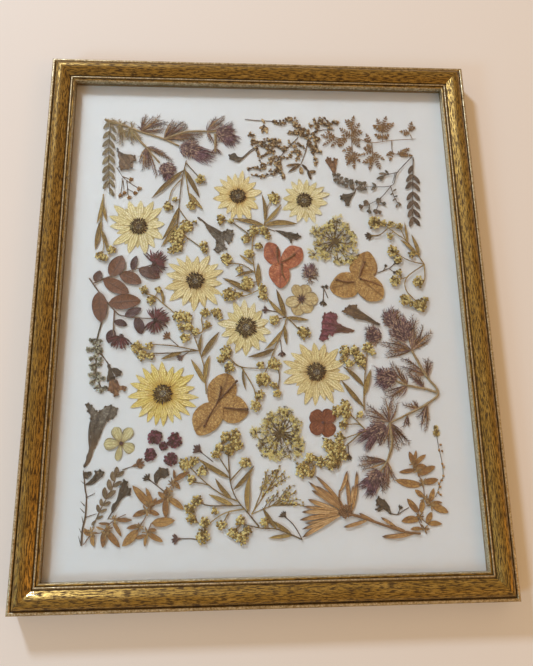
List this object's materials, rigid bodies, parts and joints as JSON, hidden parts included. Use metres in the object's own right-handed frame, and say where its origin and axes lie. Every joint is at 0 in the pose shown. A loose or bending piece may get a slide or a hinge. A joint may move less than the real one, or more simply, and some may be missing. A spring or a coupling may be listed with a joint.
{
  "type": "pressed flower frame",
  "caption": "Upright rectangular picture frame with a mitred, rounded moulding, glass, and pressed flowers, leaves and sprays spread over a pale sheet.",
  "frame": {"origin": "middle of the back of the frame, in the plane that lies against the wall or table", "axes": "the frame lies on its back: +X to the picture's right, +Y to its top, +Z out of its face"},
  "size_m": [0.446, 0.548, 0.0265],
  "materials": {
    "bract_red": "dried papery bracts, orange red",
    "bract_tan": "dried papery bracts, orange tan",
    "daisy": "dried cream and yellow petals",
    "dark_leaf": "dried leaves, dark purple grey",
    "fern": "dried ferny leaves, brown",
    "fibreboard": "brown fibreboard",
    "foam_board": "white foam board",
    "glass": "clear picture glass",
    "golden_spray": "dried golden brown stems and bud clusters",
    "heather": "dried sprigs, brown",
    "hydrangea": "dried florets, red brown",
    "lavender": "dried spike, grey",
    "magenta": "dried tubular flower, dark magenta",
    "moulding": "wood moulding wrapped in gold and brown grained foil, gilt beads",
    "mount_paper": "white paper on board",
    "olive_leaf": "dried leaves, olive",
    "pale_petal": "dried cream petals",
    "purple_leaf": "dried leaves, brown to dark purple",
    "russet_leaf": "dried leaves, orange brown",
    "salvia": "dried dark twigs",
    "sea_holly": "dried spiny heads, grey brown",
    "steel": "zinc plated sheet steel",
    "trumpet": "dried tubular flowers, grey brown",
    "umbel": "dried umbels, olive green"
  },
  "bodies": {
    "root": {"backing_board": "fibreboard", "bougainvillea_red": "bract_red", "bougainvillea_tan_left": "bract_tan", "bougainvillea_tan_right": "bract_tan", "brown_trumpet_left": "trumpet", "brown_trumpet_right": "trumpet", "daisy_1": "daisy", "daisy_2": "daisy", "daisy_3": "daisy", "daisy_4": "daisy", "daisy_5": "daisy", "daisy_6": "daisy", "daisy_7": "daisy", "ferny_leaf_left": "fern", "ferny_leaf_right": "fern", "fine_twig_spray": "golden_spray", "fringe_flower_branch": "purple_leaf", "glass_pane": "glass", "golden_spray_bottom": "golden_spray", "golden_spray_by_daisy": "golden_spray", "golden_spray_centre": "golden_spray", "golden_spray_left": "golden_spray", "golden_spray_left_edge": "golden_spray", "golden_spray_lower_right": "golden_spray", "golden_spray_middle": "golden_spray", "golden_spray_right": "golden_spray", "golden_spray_upper_left": "golden_spray", "grey_trumpet": "trumpet", "hanger": "steel", "heather_sprigs": "heather", "hydrangea_floret": "hydrangea", "lace_umbel_lower": "umbel", "lace_umbel_upper": "umbel", "large_grey_trumpet": "trumpet", "lavender_spike": "lavender", "magenta_trumpet": "magenta", "mount_sheet": "mount_paper", "oval_leaf_sprig": "olive_leaf", "pale_floret": "pale_petal", "rail_bottom": "moulding", "rail_left": "moulding", "rail_right": "moulding", "rail_top": "moulding", "russet_twig_left": "russet_leaf", "russet_twig_lower_left": "russet_leaf", "russet_twig_right": "russet_leaf", "salvia_twigs": "salvia", "sea_holly_left": "sea_holly", "sea_holly_right": "sea_holly", "spacer_ring": "foam_board", "strap_leaf_fan": "russet_leaf", "tab_1": "steel", "tab_2": "steel", "tab_3": "steel", "tab_4": "steel", "tab_5": "steel", "tab_6": "steel", "vetch_leaf_left": "olive_leaf", "vetch_leaf_right": "dark_leaf", "viola": "pale_petal"}
  },
  "joints": []
}
